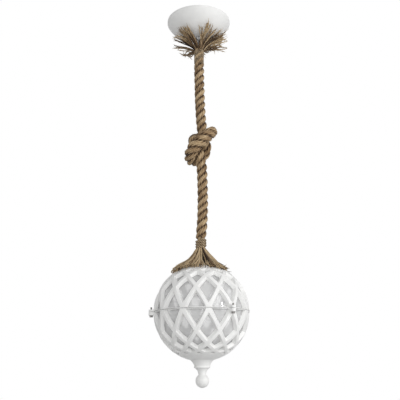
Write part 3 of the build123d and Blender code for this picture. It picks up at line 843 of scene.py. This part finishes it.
@dataclass
class Frays(Assembly):
    """The rope's two ends, opened into yarns: a splayed tuft at the top and a skirt on the globe."""

    girth: float = 0.0019
    seed: int = 12
    root: float = -99.0
    globe_centre: float = -851.0
    globe_radius: float = 125.0
    spin: Spin = Spin(step=0.0032, turn=700.0)
    tip_spin: Spin = Spin(step=0.002, turn=700.0)
    swing_room: float = 0.175
    gap: float = 0.004
    parts: int = 20
    taper: float = 0.35
    taper_from: float = 0.8
    taper_share: float = 0.2
    # How fast a yarn's painted shade goes from its root's to its tip's.
    darkening: float = 1.15
    tip_parts: int = 4
    tip_from: float = 0.75
    tip_girth: float = 0.0007
    tip_taper: float = 0.0004
    tip_aside: float = 0.2
    tip_bend: float = 0.4
    # Painted light on the fibres split off at yarn tips.
    tip_painted_light: float = 0.15
    tone_change: float = 0.5
    bundles: int = 16
    strands: int = 9
    plies: int = 2
    skirt_reach: float = 71.0
    skirt_curl: float = 3.6
    strand_aside: float = 11.0

    def __post_init__(self) -> None:
        """Starts the random draws."""
        self.rng = random.Random(self.seed)

    def cleared(self, paths: list[Path]) -> list[Path]:
        """Lowers paths where the canopy would be in their way as the lantern swings.

        Args:
            paths: The paths.

        Returns:
            The same paths.
        """
        skin = Canopy(self.finishes, self.trees).skin(0.0)
        for path in paths:
            for point in path.points:
                reach = math.hypot(point.x, point.y)
                for (far, high), (near, low) in zip(skin, skin[1:]):
                    if near <= reach <= far:
                        share = (far - reach) / (far - near)
                        height = high + (low - high) * share
                        point.z = min(point.z, height - self.swing_room * reach - self.gap)
        return paths

    def split_tip(self, path: Path, count: int, length: float) -> list[Path]:
        """Splits thin fibres off a yarn near its tip.

        Args:
            path: The yarn.
            count: How many.
            length: How long at most.

        Returns:
            The fibres.
        """
        rng = self.rng
        fibres = []
        last = len(path.points) - 1
        steps = [i / self.tip_parts for i in range(self.tip_parts + 1)]
        girths = [self.tip_girth - self.tip_taper * t for t in steps]
        # Painted light: split fibres get less painted shade than the tip of their yarn.
        painted_shades = [path.painted_shades[-1] - self.tip_painted_light] * len(steps)
        for _ in range(count):
            at = rng.randint(int(last * self.tip_from), last - 1)
            start = path.points[at]
            way = (path.points[at + 1] - start).normalized()
            aside = Vector([rng.gauss(0, 1) for _ in range(3)])
            reach = length * rng.uniform(0.5, 1.0)
            points = []
            for t in steps:
                bend = aside * reach * self.tip_aside * t * (self.tip_bend + t)
                points.append(start + way * reach * t + bend)
            fibres.append(Path(points, girths, painted_shades, rng.uniform(0.3, 1.0)))
        return fibres

    def yarn(self, stations: Sequence[Triple], curl: float, shades: Sequence[float], tone: float) -> Path:
        """Draws one yarn, with a slow wander that grows towards its tip.

        Args:
            stations: Places (radius, azimuth, height) from its root, in millimetres.
            curl: How far its tip wanders, in millimetres.
            shades: How much painted shade its root and its tip get.
            tone: How light its tuft or strand is.

        Returns:
            The yarn.
        """
        tone += self.rng.uniform(-self.tone_change, self.tone_change)
        shares = [i / self.parts for i in range(self.parts + 1)]
        phases = [self.rng.uniform(0, TURN) for _ in range(3)]
        rates = [self.rng.uniform(4, 9) for _ in range(3)]
        points = []
        for share in shares:
            r, a, z = between(stations, share)
            size = curl * share ** 1.5 / PER_METRE
            drift = [math.sin(phase + rate * share) * size for phase, rate in zip(phases, rates)]
            points.append(polar(r / PER_METRE, a, z / PER_METRE) + Vector(drift))
        full = self.girth * self.rng.uniform(0.8, 1.2)
        ends = [self.taper * max(0.0, share - self.taper_from) / self.taper_share for share in shares]
        root, tip = shades
        painted_shades = [root + (tip - root) * min(1.0, self.darkening * share) for share in shares]
        return Path(points, [full * (1.0 - end) for end in ends], painted_shades, tone)

    def upper_paths(self) -> list[Path]:
        """Draws the yarns of the upper fray.

        Returns:
            The yarns.
        """
        rng = self.rng
        paths = []
        for tuft in TUFTS:
            tone = rng.uniform(-0.1, 1.2)
            for _ in range(tuft.count):
                start = tuft.azimuth + rng.uniform(-28, 28)
                tip = tuft.azimuth + rng.gauss(0, 0.6) * tuft.spread
                reach = tuft.reach + rng.uniform(-8, 4)
                height = tuft.height + rng.uniform(-4, 3)
                rise = height - self.root
                core = rng.uniform(3, 8.5)
                stations = [
                    (core, start, self.root - 9),
                    (core + 2.5, start, self.root + 1),
                    (0.32 * reach, 0.35 * start + 0.65 * tip, self.root + 0.42 * rise),
                    (0.66 * reach, tip, self.root + 0.76 * rise),
                    (reach, tip, height),
                ]
                # Painted shade: roots darker than tips, shifted by a random fade; a tuft's painted light
                # lightens its tips.
                fade = rng.uniform(-0.5, 0.9)
                shades = (1.15 + fade, fade - 0.3 - tuft.pale)
                paths.append(self.yarn(stations, tuft.curl, shades, tone))
        return paths

    def lower_paths(self) -> list[Path]:
        """Draws the yarns of the skirt on the globe, in bundles of strands.

        Returns:
            The yarns.
        """
        rng = self.rng
        paths = []
        for bundle in range(self.bundles):
            middle = 360 / self.bundles * bundle - 180 + rng.uniform(-5, 5)
            longest = self.skirt_reach
            for azimuth, width, more in SKIRT_LONGER:
                longest += more * math.exp(-((middle - azimuth) / width) ** 2)
            longest += rng.uniform(-6, 3)
            for _ in range(self.strands):
                layer = rng.random()
                aside = rng.uniform(-self.strand_aside, self.strand_aside)
                fade = rng.choice(SKIRT_FADES)
                tone = rng.uniform(0.0, 1.6)
                for _ in range(self.plies):
                    depth = min(1.0, max(0.0, layer + rng.uniform(-0.12, 0.12)))
                    start = middle + aside + rng.uniform(-2.5, 2.5)
                    tip = middle + 1.1 * aside + rng.uniform(-3, 3)
                    reach = longest + rng.uniform(-8, 3)
                    lift = 1 - depth
                    rest = self.globe_radius + 2.4 + 4.6 * lift
                    height = self.globe_centre + math.sqrt(rest * rest - reach * reach)
                    stations = [
                        (3 + 5 * lift, start, -652.0),
                        (4 + 5.5 * lift, start, -678.0),
                        (11 + 6 * lift, start, -690.0 - 3 * depth),
                        (23 + 4 * lift, 0.5 * (start + tip), -704.0 - 5 * depth),
                        (37 + 3 * lift, 0.3 * start + 0.7 * tip, -718.0 - 6 * depth),
                        (0.8 * reach, tip, -729.5 - 6 * depth),
                        (reach, tip, height),
                    ]
                    # Painted shade: yarns lying deeper, under the others, and roots are darker; fade is a
                    # random tone per strand.
                    shades = (0.2 + 0.6 * depth + fade, -0.5 + 0.6 * depth + fade)
                    paths.append(self.yarn(stations, self.skirt_curl, shades, tone))
        return paths

    def build(self) -> None:
        """Spins the yarns of both ends and the fibres at their tips."""
        for name, yarns, fibres, length in (
            ("upper_fray", self.cleared(self.upper_paths()), 7, 0.014),
            ("lower_fray", self.lower_paths(), 5, 0.009),
        ):
            mesh = path_mesh(name + "_paths", yarns)
            self.grow(name + "_yarns", mesh, Tree.YARN, Slot.ROPE, self.spin, name)
            thin = [fibre for yarn in yarns for fibre in self.split_tip(yarn, fibres, length)]
            mesh = path_mesh(name + "_tip_paths", self.cleared(thin))
            self.grow(name + "_tips", mesh, Tree.FIBRE, Slot.ROPE, self.tip_spin)


@dataclass(frozen=True)
class Winding:
    """Twine wound round the rope in place of a CAD node."""

    node: str
    radius: float
    top: float
    pitch: float
    turns: float
    sides: int
    girth: float
    tone: float
    tree: Tree
    sizes: Lay | Spin
    slant: float = 0.0
    # Painted shade along the twine; the laid rope tree sets its own in place of it.
    painted_shade: float = 0.0


TWINE = 0.00095
TWINE_PITCH = 1.94 * TWINE


@dataclass
class Bindings(Assembly):
    """Fine twine wound on the rope's top end and a thick whipping above the skirt."""

    fine: Winding = Winding(
        "upper_binding", radius=0.0133, top=-0.0955, pitch=TWINE_PITCH, turns=0.043 / TWINE_PITCH,
        sides=36, girth=TWINE, tone=0.5, tree=Tree.YARN, sizes=Spin(step=0.002, turn=1500.0), slant=0.003,
    )
    whip: Winding = Winding(
        "lower_whipping", radius=0.0118, top=-0.6592, pitch=0.007, turns=3.1,
        sides=40, girth=1.0, tone=0.2, tree=Tree.ROPE, painted_shade=0.1,
        sizes=Lay(step=0.0009, pitch=0.019, offset=0.00165, radius=0.00175, turn=-120.0, lump=0.0009),
    )

    def build(self) -> None:
        """Winds both from the top down, with a slant that grows towards the end."""
        for twine in (self.fine, self.whip):
            count = int(twine.turns * twine.sides) + 1
            points = []
            for i in range(count):
                point = polar(twine.radius, 360 * i / twine.sides, twine.top - twine.pitch * i / twine.sides)
                point.z -= twine.slant * (i / count) ** 4 * point.x / twine.radius
                points.append(point)
            path = Path(points, [twine.girth] * count, [twine.painted_shade] * count, twine.tone)
            mesh = path_mesh(twine.node + "_path", [path])
            self.grow(twine.node + "_twine", mesh, twine.tree, Slot.TWINE, twine.sizes, twine.node)


def shaped(mesh: Mesh, form: bmesh.types.BMesh, crease: float) -> Object:
    """Adds a piece with the name of its mesh.

    Args:
        mesh: Mesh that takes the form.
        form: The form, which is freed.
        crease: Degrees from which an edge stays sharp.

    Returns:
        The piece.
    """
    form.to_mesh(mesh)
    form.free()
    mesh.shade_smooth()
    mesh.set_sharp_from_angle(angle=math.radians(crease))
    log.info("%s: %d faces", mesh.name, len(mesh.polygons))
    return add_object(mesh.name, mesh)


def lathe(name: str, profile: Profile) -> Object:
    """Turns a closed profile round the lantern's axis.

    Args:
        name: Name of the piece.
        profile: Points (radius, height) round the section, in metres.

    Returns:
        The piece.
    """
    segments, crease = 128, 20.0
    form = bmesh.new()
    rings = []
    for r, z in profile:
        rings.append([form.verts.new(polar(r, 360 * k / segments, z)) for k in range(segments)])
    for low, high in zip(rings, rings[1:] + rings[:1]):
        for k in range(segments):
            j = (k + 1) % segments
            form.faces.new((low[k], low[j], high[j], high[k]))
    bmesh.ops.recalc_face_normals(form, faces=form.faces)
    return shaped(bpy.data.meshes.new(name), form, crease)


def softened(name: str, node: str, width: float) -> Object:
    """Copies a CAD node with its seams merged and its edges rounded.

    Args:
        name: Name of the piece.
        node: The CAD node.
        width: Width of the rounding, in metres.

    Returns:
        The piece.
    """
    seam, flat, sharp, crease = 1e-6, math.radians(1.0), math.radians(28), 26.0
    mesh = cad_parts[node].data.copy()
    mesh.name = name
    mesh.materials.clear()
    form = bmesh.new()
    form.from_mesh(mesh)
    bmesh.ops.remove_doubles(form, verts=form.verts, dist=seam)
    bmesh.ops.dissolve_limit(form, angle_limit=flat, verts=form.verts, edges=form.edges)
    edges = [e for e in form.edges if len(e.link_faces) == 2 and e.calc_face_angle() > sharp]
    rounding = {"offset_type": "OFFSET", "segments": 2, "profile": 0.5, "clamp_overlap": True}
    bmesh.ops.bevel(form, geom=edges, offset=width, affect="EDGES", **rounding)
    return shaped(mesh, form, crease)


@dataclass
class Canopy(Assembly):
    """Ceiling cup: a short upright lip and a convex skin down to the rope's outlet."""

    radius: float = 0.092
    lip: float = 0.0065
    depth: float = 0.058
    outlet: float = 0.014
    wall: float = 0.0025
    bulge: float = 0.01075
    edge: float = 0.0008
    mouth_edge: float = 0.0004
    parts: int = 24

    def skin(self, shift: float) -> Profile:
        """Draws the skin's curve, an arc that bulges over its chord.

        Args:
            shift: How far it is moved inwards.

        Returns:
            Its points from the lip to the outlet.
        """
        start = Vector((self.radius - shift, -self.lip))
        end = Vector((self.outlet + self.wall, -self.depth + shift))
        chord = end - start
        normal = Vector((-chord.y, chord.x)).normalized()
        half = chord.length / 2
        reach = (half * half - self.bulge * self.bulge) / (2 * self.bulge)
        radius = reach + self.bulge
        sweep = math.asin(half / radius)
        middle = (start + end) / 2
        out = []
        for k in range(self.parts + 1):
            a = sweep * (2 * k / self.parts - 1)
            p = middle + chord.normalized() * radius * math.sin(a) + normal * (radius * math.cos(a) - reach)
            out.append((p.x, p.y))
        return out

    def build(self) -> None:
        """Turns the cup."""
        bevel = 0.25 * self.edge
        top = [(self.radius - self.edge, 0.0), (self.radius - bevel, -bevel), (self.radius, -self.edge)]
        mouth = [
            (self.outlet + self.mouth_edge, -self.depth),
            (self.outlet, -self.depth + self.mouth_edge),
            (self.outlet, -self.depth + self.wall),
        ]
        inner = self.skin(self.wall)[::-1] + [(self.radius - self.wall, 0.0)]
        cup = lathe("canopy_shell", top + self.skin(0.0) + mouth + inner)
        self.settle(cup, Body.CANOPY, Slot.PAINT, "canopy_cup")


@dataclass
class Globe(Assembly):
    """Lattice cages and the clear glass behind them."""

    centre: float = -0.851
    glass_radius: float = 0.1155
    glass_wall: float = 0.003
    rim: float = 0.0008
    upper_hole: float = 0.0201
    lower_hole: float = 0.0041
    cage_round: float = 0.0004
    parts: int = 40

    def glass(self, way: int, hole: float) -> Profile:
        """Draws the section of a half glass.

        Args:
            way: 1 above the middle or -1 below it.
            hole: Radius of the hole at its pole.

        Returns:
            Points round the section.
        """
        out: Profile = []
        for radius, turn in ((self.glass_radius, 1), (self.glass_radius - self.glass_wall, -1)):
            low = math.asin(self.rim / radius)
            high = math.acos(hole / radius)
            arc = [low + (high - low) * k / self.parts for k in range(self.parts + 1)][::turn]
            out += [(radius * math.cos(a), self.centre + way * radius * math.sin(a)) for a in arc]
        return out

    def build(self) -> None:
        """Rounds the cages and turns the glass."""
        for half, body, way, hole in (
            ("upper", Body.PENDANT, 1, self.upper_hole),
            ("lower", Body.BOWL, -1, self.lower_hole),
        ):
            cage = softened(half + "_lattice", half + "_cage", self.cage_round)
            self.settle(cage, body, Slot.PAINT, half + "_cage")
            glass = lathe(half + "_glass_half", self.glass(way, hole))
            self.settle(glass, body, Slot.GLASS, half + "_glass")


NODE_SLOTS = {
    "finial": Slot.PAINT,
    "upper_glass_seal": Slot.RUBBER,
    "lower_glass_seal": Slot.RUBBER,
    "rim_seal": Slot.RUBBER,
    "lampholder_body": Slot.HOLDER,
    "terminal_block": Slot.BLOCK,
    "lampholder_shell": Slot.BRASS,
    "lampholder_contact": Slot.BRASS,
}


@dataclass
class Hardware(Assembly):
    """Small pieces that keep their CAD shape, of steel where nothing else is named."""

    def build(self) -> None:
        """Gives every CAD node that still shows its finish."""
        for name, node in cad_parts.items():
            if node.hide_render:
                continue
            slot = NODE_SLOTS.get(name, Slot.STEEL)
            for place in node.material_slots:
                place.material = self.finishes[slot]
            log.info("%s: %s", name, slot.value)


@dataclass(frozen=True)
class Lamp:
    """A soft box, with its power in watts and whether gloss mirrors it."""

    name: str
    place: Triple
    size: tuple[float, float]
    power: float
    mirrored: bool = True

    def add(self, target: Triple) -> None:
        """Adds the lamp.

        Args:
            target: What it faces.
        """
        data = bpy.data.lights.new(self.name, "AREA")
        data.shape = "RECTANGLE"
        data.size, data.size_y = self.size
        data.energy = self.power
        obj = add_object(self.name, data)
        obj.visible_glossy = self.mirrored
        turn = (Vector(target) - Vector(self.place)).to_track_quat("-Z", "Y")
        obj.matrix_world = Matrix.Translation(self.place) @ turn.to_matrix().to_4x4()


LAMPS = (
    Lamp("key", (1.97, -1.45, -0.33), (0.2, 0.6), 6.0),
    Lamp("side", (-2.39, -0.05, -0.13), (0.08, 0.22), 5.0),
    Lamp("front", (0.2, -2.6, -0.8), (1.6, 1.6), 33.0, mirrored=False),
    Lamp("right", (2.2, -0.8, -0.5), (1.4, 1.4), 15.0, mirrored=False),
    Lamp("high", (1.5, -1.6, 0.6), (1.4, 1.4), 12.0, mirrored=False),
)


@dataclass
class Studio:
    """Camera, lights, white surroundings and floor."""

    lens: float = 55.27
    eye: Triple = (0.00459, -1.6205, -0.9962)
    pitch: float = 15.457
    yaw: float = 0.204
    roll: float = -0.581
    target: Triple = (0.0, 0.0, -0.7)
    ground: float = 0.30
    sky: float = 0.02
    horizon: float = 0.5
    floor_height: float = -2.2
    floor_half: float = 1.6

    def camera(self) -> None:
        """Puts the camera where the photograph was taken."""
        data = bpy.data.cameras.new("camera")
        data.lens = self.lens
        obj = add_object("camera", data)
        stand = Matrix.Translation(self.eye)
        for angle, axis in ((self.yaw, "Z"), (90 + self.pitch, "X"), (self.roll, "Z")):
            stand = stand @ Matrix.Rotation(math.radians(angle), 4, axis)
        obj.matrix_world = stand
        bpy.context.scene.camera = obj

    def world(self) -> None:
        """Makes the surroundings white to the eye and dimmer as light."""
        world = bpy.data.worlds.new("studio")
        world.use_nodes = True
        bpy.context.scene.world = world
        graph = Graph(world.node_tree)
        rays = graph.add("ShaderNodeLightPath").outputs
        seen = graph.math("MAXIMUM", rays["Is Camera Ray"], rays["Is Glossy Ray"])
        seen = graph.math("MAXIMUM", seen, rays["Is Transmission Ray"])
        way = graph.add("ShaderNodeSeparateXYZ", {0: graph.add("ShaderNodeTexCoord").outputs["Generated"]})
        rise = graph.eased(way.outputs["Z"], -self.horizon, self.horizon)
        light = graph.math("MULTIPLY_ADD", rise, self.sky, self.ground)
        shade = world.node_tree.nodes["Background"]
        shade.inputs["Color"].default_value = (1.0, 1.0, 1.0, 1.0)
        graph.feed(shade.inputs["Strength"], graph.math("MAXIMUM", seen, light))

    def floor(self) -> None:
        """Lays the floor."""
        mesh = bpy.data.meshes.new("floor")
        half = self.floor_half
        corners = ((-half, -half), (half, -half), (half, half), (-half, half))
        mesh.from_pydata([(x, y, self.floor_height) for x, y in corners], [], [(0, 1, 2, 3)])
        mesh.materials.append(Paint("floor_paint", (0.8, 0.8, 0.8), 0.8).make())
        floor = add_object("floor", mesh)

    def build(self) -> None:
        """Sets up the studio."""
        self.camera()
        for lamp in LAMPS:
            lamp.add(self.target)
        self.world()
        self.floor()
        bpy.context.scene.view_settings.view_transform = "Standard"


def main() -> None:
    """Builds the lantern's looks and the studio."""
    logging.basicConfig(level=logging.INFO, format="%(name)s %(message)s")
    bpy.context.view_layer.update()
    finishes = {slot: finish.make() for slot, finish in FINISHES.items()}
    trees = {
        Tree.ROPE: laid_rope_tree(),
        Tree.YARN: yarn_tree(Tree.YARN, Section(sides=9, lobes=3, pinch=0.3)),
        Tree.FIBRE: yarn_tree(Tree.FIBRE, Section(sides=4, lobes=1, pinch=0.0)),
        Tree.FUZZ: fuzz_tree(),
    }
    for assembly in (Rope, Frays, Bindings, Canopy, Globe, Hardware):
        assembly(finishes, trees).build()
    Studio().build()


if __name__ == "__main__":
    main()
